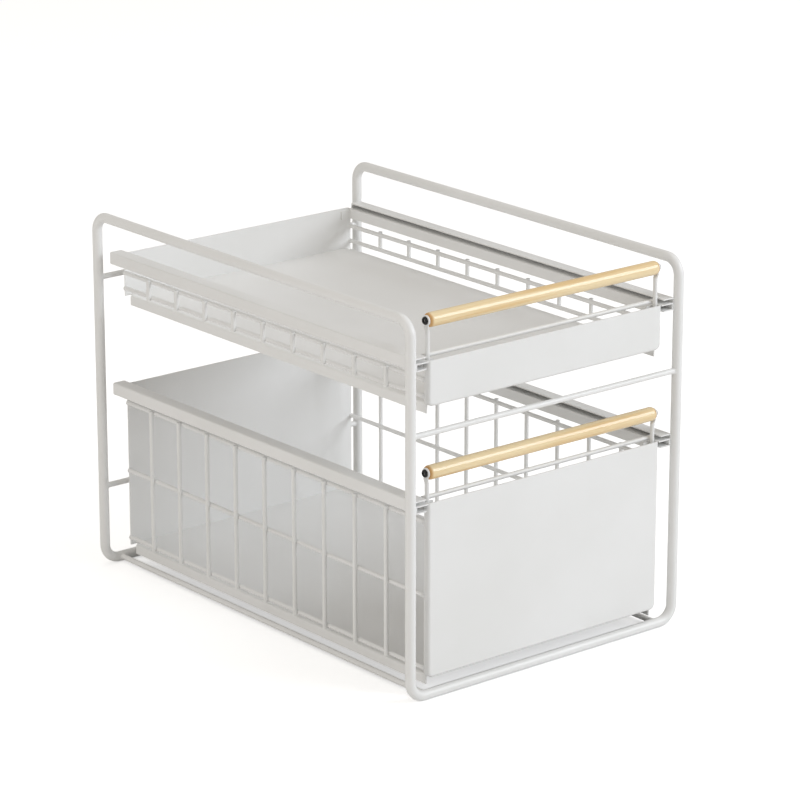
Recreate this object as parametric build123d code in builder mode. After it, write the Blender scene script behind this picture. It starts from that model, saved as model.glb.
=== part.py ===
from build123d import *
import os

# A two-tier pull out basket rack for a kitchen cabinet. A bent tube frame carries four channel rails.
# Two baskets hang in the rails on sheet runners and pull out to the front by a wooden handle bar.
# X runs from left to right, Y from the front to the back and Z up, all in millimetres.
# The origin is the middle of the rack's footprint, on the surface that it stands on.

# Frame. Widths and depths lie between tube centrelines, and heights start at the bottom rails' centreline.
FRAME_WIDTH = 264.0
FRAME_DEPTH = 390.0
FRAME_HEIGHT = 290.0
TUBE_DIAMETER = 8.0
TUBE_WALL = 1.0
TUBE_BEND = 13.0
ROD_DIAMETER = 4.5
FRONT_BAR_SHARE = 0.58
UPPER_ROD_BELOW_TOP = 51.2
LOWER_ROD_HEIGHT = 63.3
BOTTOM_WIRE_INSET = 15.5

# Rails: channels of bent sheet, open towards the baskets, welded inside the front legs.
RAIL_SHEET = 1.0
RAIL_HEIGHT = 10.0
RAIL_FLANGE = 11.0
RAIL_CORNER = 1.2

# Stop pip under the top flange of each rail, and the bent wire that holds the rail's rear end.
STOP_PIP_DIAMETER = 3.0
STOP_PIP_INSET = 1.8
STOP_PIP_HEIGHT = 1.7
STOP_GAP = 0.3
HANGER_SPACING = 200.0
HANGER_BEND = 4.0

# Baskets. The travel is from shut to the stop.
BASKET_TRAVEL = 290.0
BASKET_SHEET = 1.0
SIDE_GAP = 2.0
PANEL_DEPTH = 5.0
REAR_GAP = 11.5
PANEL_BELOW_RAIL_TOP = 4.0
PANEL_EDGE_BEND = 2.5
PANEL_BOTTOM_CORNER = 5.0
BACK_BELOW_RAIL_TOP = 2.8
BACK_CORNER = 3.0
TRAY_INSET = 2.0
TRAY_CORNER = 1.5
SKIRT_HEIGHT = 8.0
SKIRT_REAR_CUT = 4.0

# Wires of the baskets.
SIDE_WIRE = 3.5
WELD_SINK = 0.4
TOP_WIRE_BELOW_RAIL = 8.9
LOW_WIRE_RISE = 5.6
UPRIGHT_COUNT = 9
FRONT_WIRE_BELOW_RAIL_TOP = 2.2

# Runners: bent sheet strips that slide in the rails.
RUNNER_GAP = 0.3
CLOSING_GAP = 0.5
RUNNER_SHEET = 1.0
RUNNER_LIP_DROP = 2.3
RUNNER_TAB_WIDTH = 9.0
STOP_TAB_LENGTH = 10.0

# Handles: a dowel screwed between two wire posts, whose tops are pressed flat to eyelets.
DOWEL_DIAMETER = 11.0
DOWEL_CHAMFER = 1.5
POST_WIRE = 3.5
POST_WELD_LENGTH = 12.0
POST_TOP_GAP = 0.5
EYELET_DIAMETER = 8.0
EYELET_THICKNESS = 1.5
EYELET_GAP = 0.1
SCREW_SHANK = 3.5
SCREW_LENGTH = 20.0
SCREW_HEAD_DIAMETER = 6.0
SCREW_HEAD_HEIGHT = 1.6
SCREW_HEAD_ROUND = 1.1
HEX_SOCKET = 2.5
HEX_DEPTH = 1.0
THREAD_GAP = 0.02

# The upper basket hangs from the frame's top and the lower one stands over its bottom. Heights are taken
# from the bottom rails' centreline, and the handle's from the rail top.
UPPER_RAIL_BELOW_TOP = 28.8
UPPER_BASKET_DEPTH = 37.2
UPPER_HANDLE_RISE = 25.2
UPPER_WIRES = 2
LOWER_FLOOR_HEIGHT = 13.5
LOWER_BASKET_DEPTH = 139.2
LOWER_HANDLE_RISE = 17.9
LOWER_WIRES = 3

upper_rail_top = FRAME_HEIGHT - UPPER_RAIL_BELOW_TOP
TIERS = {
    "upper": dict(
        rail_top=upper_rail_top,
        floor=upper_rail_top - UPPER_BASKET_DEPTH,
        handle=upper_rail_top + UPPER_HANDLE_RISE,
        rod=FRAME_HEIGHT - UPPER_ROD_BELOW_TOP,
        wires=UPPER_WIRES,
    ),
    "lower": dict(
        rail_top=LOWER_FLOOR_HEIGHT + LOWER_BASKET_DEPTH,
        floor=LOWER_FLOOR_HEIGHT,
        handle=LOWER_FLOOR_HEIGHT + LOWER_BASKET_DEPTH + LOWER_HANDLE_RISE,
        rod=LOWER_ROD_HEIGHT,
        wires=LOWER_WIRES,
    ),
}
SIDES = {"left": -1, "right": 1}

# The front cross bar lies between the lower handle and the upper front panel.
bar_space_bottom = TIERS["lower"]["handle"] + DOWEL_DIAMETER / 2
bar_space_top = TIERS["upper"]["floor"] - 2 * BASKET_SHEET
FRONT_BAR_HEIGHT = bar_space_bottom + FRONT_BAR_SHARE * (bar_space_top - bar_space_bottom)

# Places that several pieces share.
GROUND = TUBE_DIAMETER / 2
LEG_X = FRAME_WIDTH / 2
LEG_Y = FRAME_DEPTH / 2
WEB_X = LEG_X - TUBE_DIAMETER / 2
FLANGE_X = WEB_X - RAIL_FLANGE

PANEL_X = FLANGE_X - SIDE_GAP
TRAY_X = PANEL_X - TRAY_INSET
PANEL_FRONT_Y = -LEG_Y
PANEL_BACK_Y = PANEL_FRONT_Y + PANEL_DEPTH
BACK_OUTER_Y = LEG_Y - REAR_GAP
BACK_INNER_Y = BACK_OUTER_Y - BASKET_SHEET
RAIL_BACK_Y = BACK_INNER_Y + CLOSING_GAP + RAIL_SHEET

SIDE_WIRE_X = TRAY_X + SIDE_WIRE / 2
UPRIGHT_X = SIDE_WIRE_X + SIDE_WIRE - WELD_SINK
POST_X = PANEL_X - BASKET_SHEET - POST_WIRE / 2
POST_Y = PANEL_BACK_Y
POST_BACK_Y = POST_Y + POST_WIRE / 2
POST_OUTER_X = POST_X + POST_WIRE / 2
FRONT_WIRE_Y = POST_BACK_Y + SIDE_WIRE / 2
DOWEL_END_X = POST_OUTER_X - EYELET_THICKNESS
HANGER_X = HANGER_SPACING / 2
HANGER_Y = LEG_Y - ROD_DIAMETER
HANGER_END_X = FLANGE_X + ROD_DIAMETER / 2


def facing_front(y):
    """A plane across the rack at depth y, where a sketch's x and y are the rack's X and Z."""
    return Plane(origin=(0, y, 0), x_dir=(1, 0, 0), z_dir=(0, -1, 0))


def facing_right(x):
    """A plane along the rack at width x, where a sketch's x and y are the rack's Y and Z."""
    return Plane(origin=(x, 0, 0), x_dir=(0, 1, 0), z_dir=(1, 0, 0))


def save(piece, name):
    """Label the finished piece and write it to its own file."""
    piece.part.label = name
    export_step(piece.part, f"parts/{name}.step")


def side_tube(side):
    """One side of the frame: front foot, leg, top rail, rear leg and rear foot, bent from one tube.

    The feet of both sides meet in the middle of the front and the rear bottom rail.
    """
    x = SIDES[side] * LEG_X
    top = GROUND + FRAME_HEIGHT
    corners = [
        (0, -LEG_Y, GROUND),
        (x, -LEG_Y, GROUND),
        (x, -LEG_Y, top),
        (x, LEG_Y, top),
        (x, LEG_Y, GROUND),
        (0, LEG_Y, GROUND),
    ]
    with BuildPart() as tube:
        with BuildLine() as route:
            FilletPolyline(*corners, radius=TUBE_BEND)
        with BuildSketch(Plane(origin=route.line @ 0, z_dir=route.line % 0)):
            Circle(TUBE_DIAMETER / 2)
            Circle(TUBE_DIAMETER / 2 - TUBE_WALL, mode=Mode.SUBTRACT)
        sweep()
    save(tube, f"{side}_side_tube")


def cross_rod(name, y, height):
    """A rod from leg to leg, its ends shaped to the legs that they are welded to."""
    z = GROUND + height
    with BuildPart() as rod:
        with BuildSketch(facing_right(-LEG_X)):
            with Locations((y, z)):
                Circle(ROD_DIAMETER / 2)
        extrude(amount=FRAME_WIDTH)
        with Locations((-LEG_X, y, z), (LEG_X, y, z)):
            Cylinder(TUBE_DIAMETER / 2, TUBE_DIAMETER, mode=Mode.SUBTRACT)
    save(rod, name)


def bottom_wire(side):
    """A rod from the front to the rear bottom rail, its ends shaped to the rails."""
    x = SIDES[side] * (LEG_X - BOTTOM_WIRE_INSET)
    with BuildPart() as wire:
        with BuildSketch(facing_front(LEG_Y)):
            with Locations((x, GROUND)):
                Circle(ROD_DIAMETER / 2)
        extrude(amount=FRAME_DEPTH)
        with Locations((x, -LEG_Y, GROUND), (x, LEG_Y, GROUND)):
            Cylinder(TUBE_DIAMETER / 2, TUBE_DIAMETER, rotation=(0, 90, 0), mode=Mode.SUBTRACT)
    save(wire, f"bottom_wire_{side}")


def rail(tier, side):
    """A channel rail with a closed rear end and a stop pip under its top flange."""
    s = SIDES[side]
    top = GROUND + TIERS[tier]["rail_top"]
    bottom = top - RAIL_HEIGHT
    inner_web_x = WEB_X - RAIL_SHEET
    stop_tab_front_y = BACK_INNER_Y - STOP_TAB_LENGTH
    pip_y = stop_tab_front_y - BASKET_TRAVEL - STOP_GAP - STOP_PIP_DIAMETER / 2
    pip_x = inner_web_x - STOP_PIP_INSET
    with BuildPart() as channel:
        with BuildSketch(facing_front(RAIL_BACK_Y)) as profile:
            with BuildLine():
                Polyline(
                    (s * FLANGE_X, top),
                    (s * WEB_X, top),
                    (s * WEB_X, bottom),
                    (s * FLANGE_X, bottom),
                    (s * FLANGE_X, bottom + RAIL_SHEET),
                    (s * inner_web_x, bottom + RAIL_SHEET),
                    (s * inner_web_x, top - RAIL_SHEET),
                    (s * FLANGE_X, top - RAIL_SHEET),
                    close=True,
                )
            make_face()
            outer_corners = [v for v in profile.vertices() if abs(abs(v.X) - WEB_X) < RAIL_SHEET / 2]
            fillet(outer_corners, RAIL_CORNER)
        extrude(amount=RAIL_BACK_Y + LEG_Y)
        with BuildSketch(facing_front(RAIL_BACK_Y)):
            with Locations((s * (inner_web_x + FLANGE_X) / 2, (top + bottom) / 2)):
                Rectangle(inner_web_x - FLANGE_X, RAIL_HEIGHT - 2 * RAIL_SHEET)
        extrude(amount=RAIL_SHEET)
        with BuildSketch(Plane.XY.offset(top - RAIL_SHEET)):
            with Locations((s * pip_x, pip_y)):
                Circle(STOP_PIP_DIAMETER / 2)
        extrude(amount=-STOP_PIP_HEIGHT)
    save(channel, f"{tier}_{side}_rail")


def rail_hangers(tier):
    """Two bent wires behind the basket, from the rear rod up and out to the rear ends of the rails."""
    rod_z = GROUND + TIERS[tier]["rod"]
    rail_z = GROUND + TIERS[tier]["rail_top"] - RAIL_HEIGHT + ROD_DIAMETER / 2
    with BuildPart() as hangers:
        for s in SIDES.values():
            corners = [
                (s * HANGER_X, HANGER_Y, rod_z - ROD_DIAMETER / 2),
                (s * HANGER_X, HANGER_Y, rail_z),
                (s * HANGER_END_X, HANGER_Y, rail_z),
                (s * HANGER_END_X, RAIL_BACK_Y, rail_z),
            ]
            with BuildLine() as route:
                FilletPolyline(*corners, radius=HANGER_BEND)
            with BuildSketch(Plane(origin=route.line @ 0, z_dir=route.line % 0)):
                Circle(ROD_DIAMETER / 2)
            sweep(path=route.line)
    save(hangers, f"{tier}_rail_hangers")


def front_panel(tier):
    """The basket's front: a sheet pan with rounded side and bottom edges, open to the back and the top."""
    top = GROUND + TIERS[tier]["rail_top"] - PANEL_BELOW_RAIL_TOP
    bottom = GROUND + TIERS[tier]["floor"] - 2 * BASKET_SHEET
    with BuildPart() as panel:
        with BuildSketch(facing_front(PANEL_BACK_Y)) as outline:
            with Locations((0, (top + bottom) / 2)):
                Rectangle(2 * PANEL_X, top - bottom)
            fillet(outline.vertices().group_by(Axis.Y)[0], PANEL_BOTTOM_CORNER)
        extrude(amount=PANEL_BACK_Y - PANEL_FRONT_Y)
        front_edges = panel.edges().group_by(Axis.Y)[0]
        fillet(front_edges.sort_by(Axis.Z)[:-1], PANEL_EDGE_BEND)
        open_sides = panel.faces().sort_by(Axis.Y)[-1:] + panel.faces().sort_by(Axis.Z)[-1:]
        offset(amount=-BASKET_SHEET, openings=open_sides)
    save(panel, f"{tier}_front_panel")


def back_panel(tier):
    """The basket's sheet back, from the floor up to just under the rails' top flanges."""
    top = GROUND + TIERS[tier]["rail_top"] - BACK_BELOW_RAIL_TOP
    bottom = GROUND + TIERS[tier]["floor"] - BASKET_SHEET
    with BuildPart() as panel:
        with BuildSketch(facing_front(BACK_OUTER_Y)) as outline:
            with Locations((0, (top + bottom) / 2)):
                Rectangle(2 * PANEL_X, top - bottom)
            fillet(outline.vertices().group_by(Axis.Y)[-1], BACK_CORNER)
        extrude(amount=BASKET_SHEET)
    save(panel, f"{tier}_back_panel")


def tray(tier):
    """The basket's sheet floor, on the front panel's bottom edge, with a skirt bent down at either side."""
    top = GROUND + TIERS[tier]["floor"]
    skirt_back_y = BACK_INNER_Y - SKIRT_REAR_CUT
    inner_x = TRAY_X - BASKET_SHEET
    with BuildPart() as floor:
        with BuildSketch(facing_front(skirt_back_y)) as profile:
            with Locations((0, top - SKIRT_HEIGHT / 2)):
                Rectangle(2 * TRAY_X, SKIRT_HEIGHT)
            fillet(profile.vertices().group_by(Axis.Y)[-1], TRAY_CORNER)
            with Locations((0, top - BASKET_SHEET - SKIRT_HEIGHT / 2)):
                Rectangle(2 * inner_x, SKIRT_HEIGHT, mode=Mode.SUBTRACT)
        extrude(amount=skirt_back_y - PANEL_BACK_Y)
        with BuildSketch(facing_front(BACK_INNER_Y)):
            with Locations((0, top - BASKET_SHEET / 2)):
                Rectangle(2 * (PANEL_X - PANEL_BOTTOM_CORNER), BASKET_SHEET)
        extrude(amount=BACK_INNER_Y - PANEL_FRONT_Y - PANEL_EDGE_BEND)
    save(floor, f"{tier}_tray")


def side_grid(tier, side):
    """A side of the basket: wires from the front panel's rim to the back, with uprights welded outside."""
    s = SIDES[side]
    values = TIERS[tier]
    low = GROUND + values["floor"] + LOW_WIRE_RISE
    high = GROUND + values["rail_top"] - RAIL_HEIGHT - TOP_WIRE_BELOW_RAIL
    levels = [low + i * (high - low) / (values["wires"] - 1) for i in range(values["wires"])]
    pitch = (BACK_OUTER_Y - FRONT_WIRE_Y) / (UPRIGHT_COUNT + 1)
    with BuildPart() as grid:
        with BuildSketch(facing_front(BACK_INNER_Y)):
            with Locations(*[(s * SIDE_WIRE_X, z) for z in levels]):
                Circle(SIDE_WIRE / 2)
        extrude(amount=BACK_INNER_Y - PANEL_BACK_Y)
        with BuildSketch(Plane.XY.offset(low - SIDE_WIRE / 2)):
            with Locations(*[(s * UPRIGHT_X, FRONT_WIRE_Y + (i + 1) * pitch) for i in range(UPRIGHT_COUNT)]):
                Circle(SIDE_WIRE / 2)
        extrude(amount=high - low + SIDE_WIRE)
    save(grid, f"{tier}_{side}_grid")


def front_wire(tier):
    """The wire across the front, just above the panel, welded to the backs of the handle posts."""
    z = GROUND + TIERS[tier]["rail_top"] - FRONT_WIRE_BELOW_RAIL_TOP
    with BuildPart() as wire:
        with BuildSketch(facing_right(-POST_OUTER_X)):
            with Locations((FRONT_WIRE_Y, z)):
                Circle(SIDE_WIRE / 2)
        extrude(amount=2 * POST_OUTER_X)
    save(wire, f"{tier}_front_wire")


def runner(tier, side):
    """A bent strip that slides in the rail: an upside-down trough, with tabs on the handle post and the back.

    Its rear end stands up to meet the rail's stop pip when the basket is pulled all the way out.
    """
    s = SIDES[side]
    rail_top = GROUND + TIERS[tier]["rail_top"]
    rail_bottom = rail_top - RAIL_HEIGHT
    top = rail_top - PANEL_BELOW_RAIL_TOP
    outer_x = WEB_X - RAIL_SHEET - RUNNER_GAP
    outer_leg_z = rail_bottom + RAIL_SHEET + RUNNER_GAP
    inner_leg_x = PANEL_X - RUNNER_SHEET
    inner_leg_z = rail_bottom - RUNNER_LIP_DROP
    stop_z = rail_top - RAIL_SHEET - RUNNER_GAP
    with BuildPart() as strip:
        with BuildSketch(facing_front(BACK_INNER_Y)):
            with BuildLine():
                Polyline(
                    (s * inner_leg_x, inner_leg_z),
                    (s * inner_leg_x, top),
                    (s * outer_x, top),
                    (s * outer_x, outer_leg_z),
                    (s * (outer_x - RUNNER_SHEET), outer_leg_z),
                    (s * (outer_x - RUNNER_SHEET), top - RUNNER_SHEET),
                    (s * PANEL_X, top - RUNNER_SHEET),
                    (s * PANEL_X, inner_leg_z),
                    close=True,
                )
            make_face()
        extrude(amount=BACK_INNER_Y - POST_BACK_Y)
        with BuildSketch(facing_front(POST_BACK_Y)):
            with Locations((s * (PANEL_X + outer_x) / 2, top - RUNNER_SHEET / 2)):
                Rectangle(outer_x - PANEL_X, RUNNER_SHEET)
            with Locations((s * (outer_x - RUNNER_SHEET / 2), (top + outer_leg_z) / 2)):
                Rectangle(RUNNER_SHEET, top - outer_leg_z)
        extrude(amount=POST_BACK_Y - PANEL_FRONT_Y)
        for tab_back_y in (BACK_INNER_Y, POST_BACK_Y + RUNNER_SHEET):
            with BuildSketch(facing_front(tab_back_y)):
                with Locations((s * (inner_leg_x - RUNNER_TAB_WIDTH / 2), (top - RUNNER_SHEET + inner_leg_z) / 2)):
                    Rectangle(RUNNER_TAB_WIDTH, top - RUNNER_SHEET - inner_leg_z)
            extrude(amount=RUNNER_SHEET)
        with BuildSketch(facing_front(BACK_INNER_Y)):
            with Locations((s * (outer_x - RUNNER_SHEET / 2), (top + stop_z) / 2)):
                Rectangle(RUNNER_SHEET, stop_z - top)
        extrude(amount=STOP_TAB_LENGTH)
    save(strip, f"{tier}_{side}_runner")


def handle_post(tier, side):
    """A wire post in the front pan's rim, pressed flat beside the dowel's end to an eyelet for the screw."""
    s = SIDES[side]
    foot = GROUND + TIERS[tier]["rail_top"] - PANEL_BELOW_RAIL_TOP - POST_WELD_LENGTH
    dowel_z = GROUND + TIERS[tier]["handle"]
    shoulder = dowel_z - DOWEL_DIAMETER / 2 - POST_TOP_GAP
    with BuildPart() as post:
        with BuildSketch(Plane.XY.offset(foot)):
            with Locations((s * POST_X, POST_Y)):
                Circle(POST_WIRE / 2)
        extrude(amount=shoulder - foot)
        with BuildSketch(facing_right(s * POST_OUTER_X)):
            with Locations((POST_Y, (dowel_z + shoulder - POST_WIRE) / 2)):
                Rectangle(POST_WIRE, dowel_z - shoulder + POST_WIRE)
            with Locations((POST_Y, dowel_z)):
                Circle(EYELET_DIAMETER / 2)
                Circle(SCREW_SHANK / 2 + EYELET_GAP, mode=Mode.SUBTRACT)
        extrude(amount=-s * EYELET_THICKNESS)
    save(post, f"{tier}_{side}_handle_post")


def handle_bar(tier):
    """The wooden dowel between the eyelets, bored at both ends for the screws."""
    dowel_z = GROUND + TIERS[tier]["handle"]
    bore_depth = SCREW_LENGTH - EYELET_THICKNESS + THREAD_GAP
    with BuildPart() as bar:
        with BuildSketch(facing_right(-DOWEL_END_X)):
            with Locations((POST_Y, dowel_z)):
                Circle(DOWEL_DIAMETER / 2)
        extrude(amount=2 * DOWEL_END_X)
        chamfer(bar.edges().filter_by(GeomType.CIRCLE), DOWEL_CHAMFER)
        for s in SIDES.values():
            with BuildSketch(facing_right(s * DOWEL_END_X)):
                with Locations((POST_Y, dowel_z)):
                    Circle(SCREW_SHANK / 2 + THREAD_GAP)
            extrude(amount=-s * bore_depth, mode=Mode.SUBTRACT)
    save(bar, f"{tier}_handle_bar")


def handle_screws(tier):
    """The two round-headed socket screws that hold the dowel between the eyelets."""
    dowel_z = GROUND + TIERS[tier]["handle"]
    seat_x = POST_OUTER_X
    head_x = seat_x + SCREW_HEAD_HEIGHT
    with BuildPart() as screws:
        for s in SIDES.values():
            with BuildSketch(facing_right(s * seat_x)):
                with Locations((POST_Y, dowel_z)):
                    Circle(SCREW_HEAD_DIAMETER / 2)
            extrude(amount=s * SCREW_HEAD_HEIGHT)
            outermost = 0 if s < 0 else -1
            fillet(screws.edges().group_by(Axis.X)[outermost], SCREW_HEAD_ROUND)
            with BuildSketch(facing_right(s * head_x)):
                with Locations((POST_Y, dowel_z)):
                    RegularPolygon(HEX_SOCKET / 2, 6, major_radius=False)
            extrude(amount=-s * HEX_DEPTH, mode=Mode.SUBTRACT)
            with BuildSketch(facing_right(s * seat_x)):
                with Locations((POST_Y, dowel_z)):
                    Circle(SCREW_SHANK / 2)
            extrude(amount=-s * SCREW_LENGTH)
    save(screws, f"{tier}_handle_screws")


os.makedirs("parts", exist_ok=True)

cross_rod("front_cross_bar", -LEG_Y, FRONT_BAR_HEIGHT)
for side in SIDES:
    side_tube(side)
    bottom_wire(side)

for tier in TIERS:
    cross_rod(f"{tier}_rear_rod", LEG_Y, TIERS[tier]["rod"])
    rail_hangers(tier)
    front_panel(tier)
    back_panel(tier)
    tray(tier)
    front_wire(tier)
    handle_bar(tier)
    handle_screws(tier)
    for side in SIDES:
        rail(tier, side)
        runner(tier, side)
        side_grid(tier, side)
        handle_post(tier, side)
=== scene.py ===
"""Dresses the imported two-tier pull out basket rack: coat, handle bars, posts, welds, stage and camera."""
import math

import bpy
import numpy as np
from bpy.props import FloatProperty, FloatVectorProperty, IntProperty, PointerProperty
from mathutils import Matrix, Vector


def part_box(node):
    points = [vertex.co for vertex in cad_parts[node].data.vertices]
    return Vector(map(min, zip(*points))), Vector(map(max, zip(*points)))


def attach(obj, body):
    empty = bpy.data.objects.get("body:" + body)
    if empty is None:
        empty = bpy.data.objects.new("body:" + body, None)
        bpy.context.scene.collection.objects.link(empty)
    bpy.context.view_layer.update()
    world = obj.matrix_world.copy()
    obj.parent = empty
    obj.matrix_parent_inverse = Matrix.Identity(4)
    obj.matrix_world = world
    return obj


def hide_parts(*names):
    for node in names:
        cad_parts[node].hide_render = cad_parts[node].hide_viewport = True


bl_info = {
    "name": "Pull out basket rack",
    "version": (1, 0, 0),
    "blender": (4, 5, 0),
    "location": "View3D > Sidebar > Basket Rack",
    "description": "Builds the looks of a two-tier pull out basket rack around its packed frame",
    "category": "Object",
}

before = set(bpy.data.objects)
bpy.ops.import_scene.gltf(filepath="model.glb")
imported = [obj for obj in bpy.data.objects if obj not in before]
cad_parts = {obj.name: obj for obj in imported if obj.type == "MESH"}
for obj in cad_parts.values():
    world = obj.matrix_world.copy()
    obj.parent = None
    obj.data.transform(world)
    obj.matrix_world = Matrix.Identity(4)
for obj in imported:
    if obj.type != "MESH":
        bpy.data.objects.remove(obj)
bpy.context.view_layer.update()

TIERS = ("upper", "lower")
SIDES = {"left": -1, "right": 1}
WIRES = {"upper": 2, "lower": 3}
UPRIGHTS = 9

# Places and side lengths of the square lamps, in metres.
KEY_PLACE, KEY_SIZE = (2.0, -2.5, 1.6), 1.7
FILL_PLACE, FILL_SIZE = (-2.7, -0.3, 0.9), 1.6
TOP_PLACE, TOP_SIZE = (0.3, 0.2, 2.8), 2.0

# Half the space between the hangers' feet on a rear rod, in metres.
HANGER_FOOT_X = 0.1

# Half lengths of the weld beads along X, Y and Z, in metres.
RAIL_BEAD = (0.0007, 0.0012, 0.0042)
HANGER_FOOT_BEAD = (0.0018, 0.0012, 0.0024)
HANGER_END_BEAD = (0.0028, 0.0009, 0.0028)
WIRE_END_BEAD_DEPTH = 0.0007
RAIL_BEAD_INTO_LEG = 0.0003
RAIL_BEAD_FROM_MOUTH = 0.0013
# Half depth of a nugget across two wires, as a share of its radius along them.
NUGGET_FLATNESS = 0.6
# Radius of the bead on a wire's end, as a share of the wire's radius.
WIRE_END_BEAD_SHARE = 1.25

# Power of the superellipse of an eyelet's section: 1 is an ellipse and 0 a rectangle.
EYELET_POWER = 0.45
# How far the power of a stem's outline drops from 1 where it is pressed flat.
STEM_POWER_DROP = 0.45
# Where a post's stem ends below the eyelet's middle, and its half depth there, both as shares of the
# eyelet's radius.
STEM_END_SHARE = 0.72
STEM_DEPTH_SHARE = 0.62
# Height of the rounding at a post's foot, and the smallest share of the full width there.
FOOT_ROUND = 0.0006
FOOT_LEAST = 0.3
# How far above the bar's lowest line a post is fully flat, in metres.
FLAT_ABOVE_BAR = 0.0007
# A radius that closes the bottom of a screw hole to a point, in metres.
POINT_RADIUS = 0.00001
# How far a nugget's first and last rings are turned away from its poles, in radians.
POLE_GAP = 0.02


# ---------------------------------------------------------------- settings


class RackShapeSettings(bpy.types.PropertyGroup):
    """Small shapes of the pieces that are made here."""

    bar_taper: FloatProperty(
        name="Bar taper", description="Length of the rounded shoulder at either end of a handle bar",
        subtype="DISTANCE", unit="LENGTH", min=0.0005, max=0.01, default=0.0030)
    bar_drop: FloatProperty(
        name="Bar drop", description="How much smaller the radius of a handle bar is at its ends",
        subtype="DISTANCE", unit="LENGTH", min=0.0002, max=0.003, default=0.0016)
    bar_bore: FloatProperty(
        name="Bar bore", description="Radius of the screw hole in the end of a handle bar",
        subtype="DISTANCE", unit="LENGTH", min=0.0005, max=0.003, default=0.00177)
    bar_bore_depth: FloatProperty(
        name="Bar bore depth", description="Depth of the screw hole in the end of a handle bar",
        subtype="DISTANCE", unit="LENGTH", min=0.001, max=0.05, default=0.0195)
    eyelet_thickness: FloatProperty(
        name="Eyelet thickness", description="Thickness of the flat top of a handle post",
        subtype="DISTANCE", unit="LENGTH", min=0.0005, max=0.003, default=0.0015)
    eyelet_hole: FloatProperty(
        name="Eyelet hole", description="Radius of the screw hole in the flat top of a handle post",
        subtype="DISTANCE", unit="LENGTH", min=0.0005, max=0.003, default=0.00185)
    post_neck: FloatProperty(
        name="Post neck", description="Height over which a post changes from round wire to its flat top",
        subtype="DISTANCE", unit="LENGTH", min=0.001, max=0.01, default=0.004)
    rod_weld: FloatProperty(
        name="Rod weld", description="Radius of the weld fillet between a rod and the tube that it meets",
        subtype="DISTANCE", unit="LENGTH", min=0.0002, max=0.0015, default=0.0011)
    wire_weld: FloatProperty(
        name="Wire weld", description="Radius of the weld nugget where two wires cross",
        subtype="DISTANCE", unit="LENGTH", min=0.0002, max=0.003, default=0.0016)
    segments: IntProperty(
        name="Segments", description="Number of faces round the round pieces",
        min=12, max=256, default=64)


class RackFinishSettings(bpy.types.PropertyGroup):
    """Colours and surface qualities of the rack's finishes."""

    coat_colour: FloatVectorProperty(
        name="Coat", description="Colour of the powder coat on tube, wire and sheet",
        subtype="COLOR", size=3, min=0, max=1, default=(0.84, 0.84, 0.835))
    coat_shade: FloatVectorProperty(
        name="Coat shade", description="Slightly darker tone that the coat drifts to in patches",
        subtype="COLOR", size=3, min=0, max=1, default=(0.81, 0.81, 0.80))
    coat_roughness: FloatProperty(
        name="Coat roughness", description="Roughness of the powder coat",
        subtype="FACTOR", min=0, max=1, default=0.36)
    coat_grain: FloatProperty(
        name="Coat grain", description="Width of the fine bumps in the powder coat",
        subtype="DISTANCE", unit="LENGTH", min=0.0001, max=0.01, default=0.0016)
    coat_bump: FloatProperty(
        name="Coat bump", description="Height of the fine bumps in the powder coat",
        subtype="DISTANCE", unit="LENGTH", min=0, max=0.001, default=0.00001)
    wood_light: FloatVectorProperty(
        name="Wood", description="Lighter colour between the grain lines of the handle bars",
        subtype="COLOR", size=3, min=0, max=1, default=(0.87, 0.70, 0.43))
    wood_dark: FloatVectorProperty(
        name="Wood grain", description="Darker colour of the grain lines of the handle bars",
        subtype="COLOR", size=3, min=0, max=1, default=(0.79, 0.56, 0.28))
    wood_end: FloatVectorProperty(
        name="Wood end", description="Colour of the rounded ends of the handle bars",
        subtype="COLOR", size=3, min=0, max=1, default=(0.62, 0.34, 0.12))
    wood_gloss: FloatProperty(
        name="Wood gloss", description="Strength of the clear lacquer on the handle bars",
        subtype="FACTOR", min=0, max=1, default=0.6)
    screw_colour: FloatVectorProperty(
        name="Screw", description="Colour of the blackened handle screws",
        subtype="COLOR", size=3, min=0, max=1, default=(0.015, 0.015, 0.016))
    # Painted glint: this lighter metal grey is painted in the middle of each screw head and stands in for
    # light caught in the socket.
    socket_glint_colour: FloatVectorProperty(
        name="Screw socket", description="Colour of the bare metal in the screws' sockets",
        subtype="COLOR", size=3, min=0, max=1, default=(0.42, 0.41, 0.40))


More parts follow.
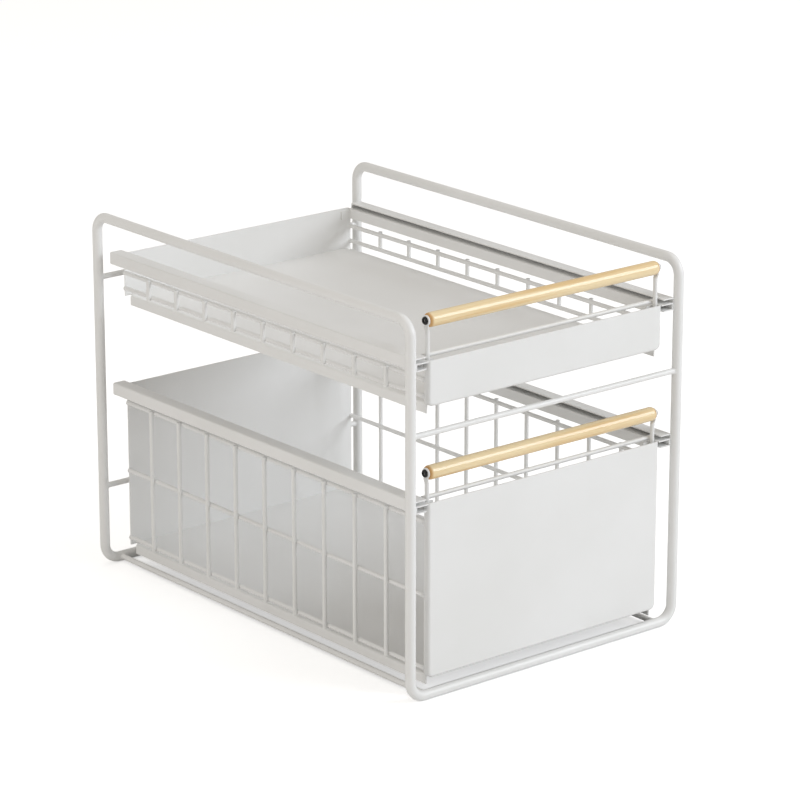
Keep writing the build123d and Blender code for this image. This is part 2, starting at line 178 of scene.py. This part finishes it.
class RackStageSettings(bpy.types.PropertyGroup):
    """Camera, floor and light."""

    azimuth: FloatProperty(
        name="Azimuth", description="Where the camera stands round the rack, from straight in front",
        subtype="ANGLE", unit="ROTATION", default=math.radians(-39.41))
    elevation: FloatProperty(
        name="Elevation", description="How far the camera looks down",
        subtype="ANGLE", unit="ROTATION", default=math.radians(17.51))
    distance: FloatProperty(
        name="Distance", description="Distance from the camera to the level of the rack's middle",
        subtype="DISTANCE", unit="LENGTH", min=0.1, default=2.9116)
    focal_length: FloatProperty(
        name="Focal length", description="Focal length of the camera on a sensor 36 mm wide",
        subtype="DISTANCE_CAMERA", unit="CAMERA", min=1, default=166.63)
    aim: FloatVectorProperty(
        name="Aim", description="Point on the rack's middle axis that the camera is set up on",
        subtype="TRANSLATION", unit="LENGTH", size=3, default=(0, 0, 0.149))
    nudge: FloatVectorProperty(
        name="Nudge", description="How far the camera stands right and up from the line to its aim",
        subtype="XYZ", unit="LENGTH", size=2, default=(0.0142, 0.0119))
    floor_colour: FloatVectorProperty(
        name="Floor", description="Colour of the floor",
        subtype="COLOR", size=3, min=0, max=1, default=(0.86, 0.86, 0.86))
    floor_size: FloatProperty(
        name="Floor size", description="Length of the square floor's side",
        subtype="DISTANCE", unit="LENGTH", min=1, default=5.0)
    floor_lift: FloatProperty(
        name="Floor lift",
        description="Light added to the floor for the camera alone, so that it merges with the sky",
        min=0, max=2, default=0.5)
    sky_colour: FloatVectorProperty(
        name="Sky", description="Colour of the even light from all round",
        subtype="COLOR", size=3, min=0, max=1, default=(1.0, 0.965, 0.915))
    sky_level: FloatProperty(
        name="Sky level", description="Strength of the even light from all round",
        min=0, max=4, default=0.46)
    key_colour: FloatVectorProperty(
        name="Key colour", description="Colour of the soft light at the front",
        subtype="COLOR", size=3, min=0, max=1, default=(0.90, 0.945, 1.0))
    key_power: FloatProperty(
        name="Key light", description="Power of the soft light at the front",
        subtype="POWER", unit="POWER", min=0, default=62)
    fill_power: FloatProperty(
        name="Fill light", description="Power of the soft light on the left",
        subtype="POWER", unit="POWER", min=0, default=17)
    top_power: FloatProperty(
        name="Top light", description="Power of the soft light overhead",
        subtype="POWER", unit="POWER", min=0, default=12)


# ---------------------------------------------------------------- mesh helpers


def grids(name, points, wrap_rows=False, wrap_columns=False):
    """One smooth mesh of quads through grids of points, shaped (copies, rows, columns, 3)."""
    copies, rows, columns = points.shape[:3]
    index = np.arange(copies * rows * columns).reshape(copies, rows, columns)
    if wrap_rows:
        index = np.concatenate([index, index[:, :1]], axis=1)
    if wrap_columns:
        index = np.concatenate([index, index[:, :, :1]], axis=2)
    corners = (index[:, :-1, :-1], index[:, 1:, :-1], index[:, 1:, 1:], index[:, :-1, 1:])
    quads = np.stack(corners, axis=-1).reshape(-1, 4)
    mesh = bpy.data.meshes.new(name)
    mesh.vertices.add(copies * rows * columns)
    mesh.vertices.foreach_set("co", points.astype(np.float32).ravel())
    mesh.loops.add(quads.size)
    mesh.loops.foreach_set("vertex_index", quads.astype(np.int32).ravel())
    mesh.polygons.add(len(quads))
    mesh.polygons.foreach_set("loop_start", np.arange(0, quads.size, 4, dtype=np.int32))
    mesh.polygons.foreach_set("use_smooth", np.ones(len(quads), dtype=bool))
    mesh.update(calc_edges=True)
    mesh.validate()
    return mesh


def add_piece(name, mesh, body, material):
    """Links a mesh as a piece that rides on a body and takes its finish from a slot."""
    mesh.materials.append(material)
    piece = bpy.data.objects.new(name, mesh)
    bpy.context.scene.collection.objects.link(piece)
    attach(piece, body)
    return piece


def joined(name, meshes, body, material):
    """One piece from several meshes of grids."""
    if not meshes:
        raise RuntimeError(f"{name} has no parts")
    counts = [len(m.vertices) for m in meshes]
    loops = [len(m.loops) for m in meshes]
    points = np.empty(3 * sum(counts), dtype=np.float32)
    corners = np.empty(sum(loops), dtype=np.int32)
    first_point = first_loop = 0
    for mesh, count, size in zip(meshes, counts, loops):
        mesh.vertices.foreach_get("co", points[3 * first_point:3 * (first_point + count)])
        part = np.empty(size, dtype=np.int32)
        mesh.loops.foreach_get("vertex_index", part)
        corners[first_loop:first_loop + size] = part + first_point
        first_point += count
        first_loop += size
        bpy.data.meshes.remove(mesh)
    whole = bpy.data.meshes.new(name)
    whole.vertices.add(first_point)
    whole.vertices.foreach_set("co", points)
    whole.loops.add(first_loop)
    whole.loops.foreach_set("vertex_index", corners)
    whole.polygons.add(first_loop // 4)
    whole.polygons.foreach_set("loop_start", np.arange(0, first_loop, 4, dtype=np.int32))
    whole.polygons.foreach_set("use_smooth", np.ones(first_loop // 4, dtype=bool))
    whole.update(calc_edges=True)
    return add_piece(name, whole, body, material)


def middle(node):
    """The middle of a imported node's box."""
    low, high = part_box(node)
    return (low + high) / 2


def tube_radius():
    """Radius of the side tubes, which the rack stands on, so the bottom wires' middle lies that high."""
    return middle("bottom_wire_left").z


# ---------------------------------------------------------------- materials


def new_material(name):
    """An empty node material with its Principled shader, as (material, nodes, links, shader)."""
    material = bpy.data.materials.new(name)
    material.use_nodes = True
    tree = material.node_tree
    shader = tree.nodes["Principled BSDF"]
    return material, tree.nodes, tree.links, shader


def object_pattern(nodes, links, scale):
    """A Mapping node on Object coordinates that turns metres into pattern units along each axis."""
    place = nodes.new("ShaderNodeTexCoord")
    mapping = nodes.new("ShaderNodeMapping")
    mapping.inputs["Scale"].default_value = scale
    links.new(place.outputs["Object"], mapping.inputs["Vector"])
    return mapping.outputs["Vector"]


def noise(nodes, links, vector, detail, roughness=0.5):
    """Blender's noise texture on a vector, as its value from 0 to 1."""
    texture = nodes.new("ShaderNodeTexNoise")
    texture.inputs["Scale"].default_value = 1
    texture.inputs["Detail"].default_value = detail
    texture.inputs["Roughness"].default_value = roughness
    links.new(vector, texture.inputs["Vector"])
    return texture.outputs["Fac"]


def ramp(nodes, links, value, stops):
    """A colour ramp through (position, colour) stops."""
    node = nodes.new("ShaderNodeValToRGB")
    elements = node.color_ramp.elements
    elements[0].position, elements[0].color = stops[0][0], (*stops[0][1], 1)
    elements[1].position, elements[1].color = stops[-1][0], (*stops[-1][1], 1)
    for position, colour in stops[1:-1]:
        elements.new(position).color = (*colour, 1)
    links.new(value, node.inputs["Fac"])
    return node.outputs["Color"]


def fade(nodes, links, value, start, end):
    """A value that goes from 0 at start to 1 at end."""
    node = nodes.new("ShaderNodeMapRange")
    node.interpolation_type = "SMOOTHSTEP"
    node.inputs["From Min"].default_value = start
    node.inputs["From Max"].default_value = end
    links.new(value, node.inputs["Value"])
    return node.outputs["Result"]


def blend(nodes, links, factor, first, second):
    """A colour between a linked first colour and a fixed second one."""
    node = nodes.new("ShaderNodeMix")
    node.data_type = "RGBA"
    links.new(factor, node.inputs["Factor"])
    links.new(first, node.inputs["A"])
    node.inputs["B"].default_value = (*second, 1)
    return node.outputs["Result"]


def bump(nodes, links, shader, height, distance):
    """Raises the surface by a height from 0 to 1 times a distance in metres."""
    node = nodes.new("ShaderNodeBump")
    node.inputs["Distance"].default_value = distance
    links.new(height, node.inputs["Height"])
    links.new(node.outputs["Normal"], shader.inputs["Normal"])


def powder_coat():
    """White powder coat: soft patches of tone, and a fine orange peel in bump and roughness."""
    made = bpy.data.materials.get("powder_coat")
    if made:
        return made
    finish = bpy.context.scene.rack_finish
    material, nodes, links, shader = new_material("powder_coat")
    patches = noise(nodes, links, object_pattern(nodes, links, (9, 9, 9)), 3)
    colour = ramp(nodes, links, patches, [(0.35, finish.coat_shade), (0.6, finish.coat_colour)])
    links.new(colour, shader.inputs["Base Color"])
    peel = noise(nodes, links, object_pattern(nodes, links, (1 / finish.coat_grain,) * 3), 2)
    spread = nodes.new("ShaderNodeMapRange")
    spread.inputs["To Min"].default_value = finish.coat_roughness - 0.05
    spread.inputs["To Max"].default_value = finish.coat_roughness + 0.07
    links.new(peel, spread.inputs["Value"])
    links.new(spread.outputs["Result"], shader.inputs["Roughness"])
    shader.inputs["IOR"].default_value = 1.5
    bump(nodes, links, shader, peel, finish.coat_bump)
    return material


def handle_wood(half_length):
    """Pale lacquered wood: grain lines along the bar, pores, and browner rounded ends."""
    finish = bpy.context.scene.rack_finish
    material, nodes, links, shader = new_material("handle_wood")
    broad = noise(nodes, links, object_pattern(nodes, links, (6, 190, 190)), 3, 0.5)
    along = ramp(nodes, links, broad, [(0.36, finish.wood_dark), (0.52, finish.wood_light)])
    split = nodes.new("ShaderNodeSeparateXYZ")
    links.new(object_pattern(nodes, links, (1, 1, 1)), split.inputs["Vector"])
    reach = nodes.new("ShaderNodeMath")
    reach.operation = "ABSOLUTE"
    links.new(split.outputs["X"], reach.inputs[0])
    taper = bpy.context.scene.rack_shape.bar_taper
    ends = fade(nodes, links, reach.outputs["Value"], half_length - 0.9 * taper, half_length - 0.1 * taper)
    links.new(blend(nodes, links, ends, along, finish.wood_end), shader.inputs["Base Color"])
    fine = noise(nodes, links, object_pattern(nodes, links, (60, 1500, 1500)), 3)
    spread = nodes.new("ShaderNodeMapRange")
    spread.inputs["To Min"].default_value = 0.42
    spread.inputs["To Max"].default_value = 0.56
    links.new(fine, spread.inputs["Value"])
    links.new(spread.outputs["Result"], shader.inputs["Roughness"])
    shader.inputs["Specular IOR Level"].default_value = 0.2
    shader.inputs["Coat Weight"].default_value = finish.wood_gloss
    shader.inputs["Coat Roughness"].default_value = 0.06
    shader.inputs["Coat IOR"].default_value = 1.6
    bump(nodes, links, shader, fine, 0.00003)
    return material


def screw_black(tier):
    """Blackened steel with a painted glint of lighter metal grey in the middle of the head, where the socket
    is.
    """
    finish = bpy.context.scene.rack_finish
    material, nodes, links, shader = new_material(f"{tier}_screw_black")
    wear = noise(nodes, links, object_pattern(nodes, links, (900, 900, 900)), 3)
    colour = ramp(nodes, links, wear, [(0.3, finish.screw_colour), (0.9, (0.05, 0.05, 0.05))])
    axis = middle(f"{tier}_handle_screws")
    shift = nodes.new("ShaderNodeMapping")
    shift.inputs["Location"].default_value = (0, -axis.y, -axis.z)
    links.new(object_pattern(nodes, links, (0, 1, 1)), shift.inputs["Vector"])
    length = nodes.new("ShaderNodeVectorMath")
    length.operation = "LENGTH"
    links.new(shift.outputs["Vector"], length.inputs[0])
    # Painted glint: a small disc round the screw's axis turns from black to the lighter socket grey.
    glint_mask = fade(nodes, links, length.outputs["Value"], 0.0013, 0.0009)
    links.new(blend(nodes, links, glint_mask, colour, finish.socket_glint_colour), shader.inputs["Base Color"])
    shader.inputs["Metallic"].default_value = 0.6
    shader.inputs["Roughness"].default_value = 0.32
    return material


def dress(nodes, material):
    """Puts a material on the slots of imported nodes."""
    for name in nodes:
        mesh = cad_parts[name].data
        mesh.materials.clear()
        mesh.materials.append(material)


# ---------------------------------------------------------------- operators


class RACK_OT_coated_steel(bpy.types.Operator):
    """Gives every packed tube, wire and sheet node its powder coat"""

    bl_idname = "rack.coated_steel"
    bl_label = "Coat the steel"

    def execute(self, context):
        names = [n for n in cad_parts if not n.endswith(("handle_bar", "handle_screws"))]
        dress(names, powder_coat())
        return {"FINISHED"}


class RACK_OT_handle_bars(bpy.types.Operator):
    """Turns the wooden handle bars.

    Each bar is a profile of (reach, radius) turned round its axis. The radius keeps its full size along
    the bar and drops along a quarter ellipse over the taper at either end. The profile then runs straight
    in to the screw hole and along it to the hole's closed bottom
    """

    bl_idname = "rack.handle_bars"
    bl_label = "Turn the handle bars"

    def execute(self, context):
        shape = context.scene.rack_shape
        wood = handle_wood(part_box("upper_handle_bar")[1].x)
        for tier in TIERS:
            self.bar(tier, shape, wood)
            dress([f"{tier}_handle_screws"], screw_black(tier))
        return {"FINISHED"}

    def bar(self, tier, shape, wood):
        low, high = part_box(f"{tier}_handle_bar")
        centre = (low + high) / 2
        radius, half = (high.z - low.z) / 2, high.x
        angle = np.linspace(0, np.pi / 2, 14)
        depth = half - shape.bar_bore_depth
        shoulder = half - shape.bar_taper * (1 - np.cos(angle[::-1]))
        fall = radius - shape.bar_drop * (1 - np.sin(angle[::-1]))
        inner = np.array([depth, depth, half, half])
        hole = np.array([POINT_RADIUS, shape.bar_bore, shape.bar_bore, (shape.bar_bore + fall[-1]) / 2])
        straight = np.linspace(0, half - shape.bar_taper, 24)[:-1]
        reach = np.concatenate([straight, shoulder, inner[::-1]])
        size = np.concatenate([np.full(len(straight), radius), fall, hole[::-1]])
        reach = np.concatenate([-reach[:0:-1], reach])
        size = np.concatenate([size[:0:-1], size])
        turn = np.linspace(0, 2 * np.pi, shape.segments, endpoint=False)
        points = np.empty((1, len(reach), len(turn), 3))
        points[0, :, :, 0] = reach[:, None]
        points[0, :, :, 1] = centre.y + size[:, None] * np.cos(turn)
        points[0, :, :, 2] = centre.z + size[:, None] * np.sin(turn)
        mesh = grids(f"{tier}_turned_bar", points[:, ::-1], wrap_columns=True)
        piece = add_piece(f"{tier}_turned_bar", mesh, f"{tier}_basket", wood)
        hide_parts(f"{tier}_handle_bar")


class RACK_OT_handle_posts(bpy.types.Operator):
    """Draws the wire posts and presses their tops flat to eyelets.

    A post is a stack of closed outlines. Each is a superellipse whose half width along the bar goes from the
    wire's radius to half the eyelet's thickness, and whose half depth grows towards the eyelet's radius. The
    eyelet is a ring with a superellipse as its section, turned round the screw's axis
    """

    bl_idname = "rack.handle_posts"
    bl_label = "Draw the handle posts"

    def execute(self, context):
        for tier in TIERS:
            for side, s in SIDES.items():
                self.post(tier, side, s, context.scene.rack_shape)
        return {"FINISHED"}

    def post(self, tier, side, s, shape):
        low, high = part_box(f"{tier}_{side}_handle_post")
        outer = max(abs(low.x), abs(high.x))
        wire = (high.x - low.x) / 2
        ring = (high.y - low.y) / 2
        y, top = (low.y + high.y) / 2, high.z
        eye = top - ring
        flat = shape.eyelet_thickness / 2
        steps = np.concatenate([[0, 0.02, 0.06], np.linspace(0.1, 1, 60)])
        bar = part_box(f"{tier}_handle_bar")
        flat_from = eye - (bar[1].z - bar[0].z) / 2 + FLAT_ABOVE_BAR
        z = low.z + steps * (eye - STEM_END_SHARE * ring - low.z)
        change = np.clip((z - flat_from) / shape.post_neck + 1, 0, 1)
        change = change * change * (3 - 2 * change)
        foot = np.sqrt(np.clip(1 - (1 - np.clip((z - low.z) / FOOT_ROUND, 0, 1)) ** 2, 0, 1))
        foot = np.maximum(foot, FOOT_LEAST)
        across = (wire + (flat - wire) * change) * foot
        depth = (wire + (STEM_DEPTH_SHARE * ring - wire) * change) * foot
        centre = outer - wire + (wire - flat) * change
        power = 1 - STEM_POWER_DROP * change
        turn = np.linspace(0, 2 * np.pi, 32, endpoint=False)
        points = np.empty((1, len(z), len(turn), 3))
        cos, sin = np.cos(turn), np.sin(turn)
        bend = power[:, None]
        points[0, :, :, 0] = s * (centre[:, None] + across[:, None] * np.sign(cos) * np.abs(cos) ** bend)
        points[0, :, :, 1] = y + depth[:, None] * np.sign(sin) * np.abs(sin) ** bend
        points[0, :, :, 2] = z[:, None]
        stem = grids("stem", points[:, :, ::s * -1], wrap_columns=True)
        eyelet = self.eyelet(s, outer - flat, y, eye, ring, flat, shape)
        name = f"{tier}_{side}_eyelet_post"
        piece = joined(name, [stem, eyelet], f"{tier}_basket", powder_coat())
        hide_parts(f"{tier}_{side}_handle_post")

    def eyelet(self, s, x, y, z, ring, flat, shape):
        """A ring whose section is a superellipse, from the hole's radius to the ring's."""
        about = np.linspace(0, 2 * np.pi, shape.segments, endpoint=False)
        section = np.linspace(0, 2 * np.pi, 24, endpoint=False)
        cos, sin = np.cos(section), np.sin(section)
        mean, half = (ring + shape.eyelet_hole) / 2, (ring - shape.eyelet_hole) / 2
        out = mean + half * np.sign(cos) * np.abs(cos) ** EYELET_POWER
        side = flat * np.sign(sin) * np.abs(sin) ** EYELET_POWER
        points = np.empty((1, len(section), len(about), 3))
        points[0, :, :, 0] = s * x + side[:, None]
        points[0, :, :, 1] = y + out[:, None] * np.cos(about)
        points[0, :, :, 2] = z + out[:, None] * np.sin(about)
        return grids("eyelet", points[:, ::-1], wrap_rows=True, wrap_columns=True)


class RACK_OT_welds(bpy.types.Operator):
    """Adds the welds: concave collars where rods meet tubes, and small nuggets where wires cross or touch.

    A collar follows the tube's round surface. Its points' heights over the tube and distances from the rod's
    axis trace a quarter circle from the rod to the tube. A nugget is an ellipsoid, copied to all its places
    at once
    """

    bl_idname = "rack.welds"
    bl_label = "Add the welds"

    def execute(self, context):
        shape = context.scene.rack_shape
        joined("frame_welds", self.frame_parts(shape), "frame", powder_coat())
        for tier in TIERS:
            parts = self.basket_parts(tier, shape)
            joined(f"{tier}_basket_welds", parts, f"{tier}_basket", powder_coat())
        return {"FINISHED"}

    def collar(self, origin, along, across, radius, tube, shape):
        """The fillet round a rod that leaves a tube's axis at origin. Its directions are unit vectors."""
        turn = np.linspace(0, 2 * np.pi, 40, endpoint=False)
        bend = np.linspace(0, np.pi / 2, 9)[:, None]
        size = radius + shape.rod_weld * (1 - np.cos(bend))
        lift = shape.rod_weld * (1 - np.sin(bend))
        side, high = size * np.cos(turn), size * np.sin(turn)
        out = np.sqrt(tube ** 2 - side ** 2) + lift
        along, across = np.array(along, float), np.array(across, float)
        upward = np.cross(along, across)
        points = np.array(origin) + out[..., None] * along
        points = points + side[..., None] * across + high[..., None] * upward
        return grids("collar", points[None], wrap_columns=True)

    def nuggets(self, centres, sizes):
        """Ellipsoids of one size at many centres."""
        tilt = np.linspace(POLE_GAP, np.pi - POLE_GAP, 11)[:, None]
        turn = np.linspace(0, 2 * np.pi, 20, endpoint=False)
        x, y = np.sin(tilt) * np.cos(turn), np.sin(tilt) * np.sin(turn)
        ball = np.stack(np.broadcast_arrays(x, y, np.cos(tilt)), -1)
        points = np.array(centres)[:, None, None, :] + ball[None] * np.array(sizes)
        return grids("nuggets", points, wrap_columns=True)

    def frame_parts(self, shape):
        tube = tube_radius()
        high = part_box("right_side_tube")[1]
        leg_x, leg_y = high.x - tube, high.y - tube
        parts = []
        for name, y in (("front_cross_bar", -leg_y), ("upper_rear_rod", leg_y), ("lower_rear_rod", leg_y)):
            low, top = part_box(name)
            rod, z = (top.z - low.z) / 2, (top.z + low.z) / 2
            for s in SIDES.values():
                parts.append(self.collar((s * leg_x, y, z), (-s, 0, 0), (0, 1, 0), rod, tube, shape))
        for side in SIDES:
            low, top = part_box(f"bottom_wire_{side}")
            rod, centre = (top.x - low.x) / 2, (low + top) / 2
            for s in SIDES.values():
                start = (centre.x, s * leg_y, centre.z)
                parts.append(self.collar(start, (0, -s, 0), (0, 0, 1), rod, tube, shape))
        for tier in TIERS:
            for side, s in SIDES.items():
                low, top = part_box(f"{tier}_{side}_rail")
                seam_x = s * (leg_x - tube + RAIL_BEAD_INTO_LEG)
                seam = (seam_x, low.y + RAIL_BEAD_FROM_MOUTH, (low.z + top.z) / 2)
                parts.append(self.nuggets([seam], RAIL_BEAD))
            rod = middle(f"{tier}_rear_rod")
            low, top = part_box(f"{tier}_rail_hangers")
            wire = (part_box(f"{tier}_rear_rod")[1].z - rod.z)
            bend_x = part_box(f"{tier}_right_rail")[0].x + wire
            hanger_y = top.y - wire
            feet = [(s * HANGER_FOOT_X, (rod.y + hanger_y) / 2, rod.z) for s in SIDES.values()]
            ends = [(s * bend_x, low.y, top.z - wire) for s in SIDES.values()]
            parts.append(self.nuggets(feet, HANGER_FOOT_BEAD))
            parts.append(self.nuggets(ends, HANGER_END_BEAD))
        return parts

    def basket_parts(self, tier, shape):
        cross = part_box(f"{tier}_front_wire")
        wire = (cross[1].z - cross[0].z) / 2
        front_y = (cross[0].y + cross[1].y) / 2
        back_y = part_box(f"{tier}_back_panel")[1].y
        row = front_y + np.arange(1, UPRIGHTS + 1) * (back_y - front_y) / (UPRIGHTS + 1)
        parts = []
        for side, s in SIDES.items():
            low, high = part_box(f"{tier}_{side}_grid")
            inner = min(abs(low.x), abs(high.x)) + wire
            outer = max(abs(low.x), abs(high.x)) - wire
            levels = np.linspace(low.z + wire, high.z - wire, WIRES[tier])
            y, z = np.meshgrid(row, levels)
            centres = np.stack([np.full(y.size, s * (inner + outer) / 2), y.ravel(), z.ravel()], -1)
            weld, flat = shape.wire_weld, NUGGET_FLATNESS * shape.wire_weld
            parts.append(self.nuggets(centres, (flat, weld, weld)))
            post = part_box(f"{tier}_{side}_handle_post")
            post_x = (post[0].x + post[1].x) / 2
            touch = [(post_x, cross[0].y, (cross[0].z + cross[1].z) / 2)]
            parts.append(self.nuggets(touch, (weld, flat, weld)))
            ends = [(s * inner, y, z) for z in levels for y in (low.y, high.y)]
            round_wire = WIRE_END_BEAD_SHARE * wire
            parts.append(self.nuggets(ends, (round_wire, WIRE_END_BEAD_DEPTH, round_wire)))
        return parts


class RACK_OT_stage(bpy.types.Operator):
    """Sets up the white floor, the soft studio light and the camera"""

    bl_idname = "rack.stage"
    bl_label = "Set the stage"

    def execute(self, context):
        scene = context.scene
        stage = scene.rack_stage
        self.floor(scene, stage)
        self.sky(scene, stage)
        self.lamp("key_light", KEY_PLACE, stage.aim, KEY_SIZE, stage.key_power, stage.key_colour)
        self.lamp("fill_light", FILL_PLACE, stage.aim, FILL_SIZE, stage.fill_power, stage.sky_colour)
        self.lamp("top_light", TOP_PLACE, stage.aim, TOP_SIZE, stage.top_power, stage.sky_colour)
        self.camera(scene, stage)
        scene.view_settings.view_transform = "Standard"
        return {"FINISHED"}

    def floor(self, scene, stage):
        half = stage.floor_size / 2
        mesh = bpy.data.meshes.new("floor")
        corners = [(-half, -half, 0), (half, -half, 0), (half, half, 0), (-half, half, 0)]
        mesh.from_pydata(corners, [], [(0, 1, 2, 3)])
        floor = bpy.data.objects.new("floor", mesh)
        scene.collection.objects.link(floor)
        material, nodes, links, shader = new_material("floor")
        shader.inputs["Base Color"].default_value = (*stage.floor_colour, 1)
        shader.inputs["Roughness"].default_value = 0.9
        shader.inputs["Specular IOR Level"].default_value = 0.1
        path = nodes.new("ShaderNodeLightPath")
        lift = nodes.new("ShaderNodeMath")
        lift.operation = "MULTIPLY"
        lift.inputs[1].default_value = stage.floor_lift
        links.new(path.outputs["Is Camera Ray"], lift.inputs[0])
        links.new(lift.outputs["Value"], shader.inputs["Emission Strength"])
        shader.inputs["Emission Color"].default_value = (1, 1, 1, 1)
        mesh.materials.append(material)

    def sky(self, scene, stage):
        world = bpy.data.worlds.new("sky")
        scene.world = world
        world.use_nodes = True
        nodes, links = world.node_tree.nodes, world.node_tree.links
        even = nodes["Background"]
        even.inputs["Color"].default_value = (*stage.sky_colour, 1)
        even.inputs["Strength"].default_value = stage.sky_level
        seen = nodes.new("ShaderNodeBackground")
        seen.inputs["Color"].default_value = (1, 1, 1, 1)
        path = nodes.new("ShaderNodeLightPath")
        mix = nodes.new("ShaderNodeMixShader")
        links.new(path.outputs["Is Camera Ray"], mix.inputs["Fac"])
        links.new(even.outputs["Background"], mix.inputs[1])
        links.new(seen.outputs["Background"], mix.inputs[2])
        links.new(mix.outputs["Shader"], nodes["World Output"].inputs["Surface"])

    def lamp(self, name, place, aim, size, power, colour):
        light = bpy.data.lights.new(name, "AREA")
        light.shape = "SQUARE"
        light.size = size
        light.energy = power
        light.color = colour
        lamp = bpy.data.objects.new(name, light)
        lamp.location = place
        lamp.rotation_euler = (Vector(aim) - Vector(place)).to_track_quat("-Z", "Y").to_euler()
        bpy.context.scene.collection.objects.link(lamp)

    def camera(self, scene, stage):
        turn, tilt = stage.azimuth, stage.elevation
        back = Vector((math.sin(turn) * math.cos(tilt), -math.cos(turn) * math.cos(tilt), math.sin(tilt)))
        right = Vector((0, 0, 1)).cross(back).normalized()
        up = back.cross(right)
        place = Vector(stage.aim) + back * stage.distance + right * stage.nudge[0] + up * stage.nudge[1]
        data = bpy.data.cameras.new("camera")
        data.sensor_width = 36
        data.lens = stage.focal_length
        data.clip_end = 50
        camera = bpy.data.objects.new("camera", data)
        axes = Matrix((right, up, back)).transposed().to_4x4()
        camera.matrix_world = Matrix.Translation(place) @ axes
        scene.collection.objects.link(camera)
        scene.camera = camera


class RACK_PT_panel(bpy.types.Panel):
    """Lists the rack's steps and settings."""

    bl_idname = "RACK_PT_panel"
    bl_label = "Basket rack"
    bl_space_type = "VIEW_3D"
    bl_region_type = "UI"
    bl_category = "Basket Rack"

    def draw(self, context):
        for step in STEPS:
            self.layout.operator(step.bl_idname)
        for settings in (context.scene.rack_shape, context.scene.rack_finish, context.scene.rack_stage):
            for name in settings.bl_rna.properties.keys():
                if name not in ("rna_type", "name"):
                    self.layout.prop(settings, name)


SETTINGS = (RackShapeSettings, RackFinishSettings, RackStageSettings)
STEPS = (RACK_OT_coated_steel, RACK_OT_handle_bars, RACK_OT_handle_posts, RACK_OT_welds, RACK_OT_stage)


def register():
    for item in SETTINGS + STEPS + (RACK_PT_panel,):
        bpy.utils.register_class(item)
    bpy.types.Scene.rack_shape = PointerProperty(type=RackShapeSettings)
    bpy.types.Scene.rack_finish = PointerProperty(type=RackFinishSettings)
    bpy.types.Scene.rack_stage = PointerProperty(type=RackStageSettings)


def unregister():
    del bpy.types.Scene.rack_stage
    del bpy.types.Scene.rack_finish
    del bpy.types.Scene.rack_shape
    for item in reversed(SETTINGS + STEPS + (RACK_PT_panel,)):
        bpy.utils.unregister_class(item)


def main():
    register()
    for step in STEPS:
        family, name = step.bl_idname.split(".")
        getattr(getattr(bpy.ops, family), name)()


if __name__ == "__main__":
    main()
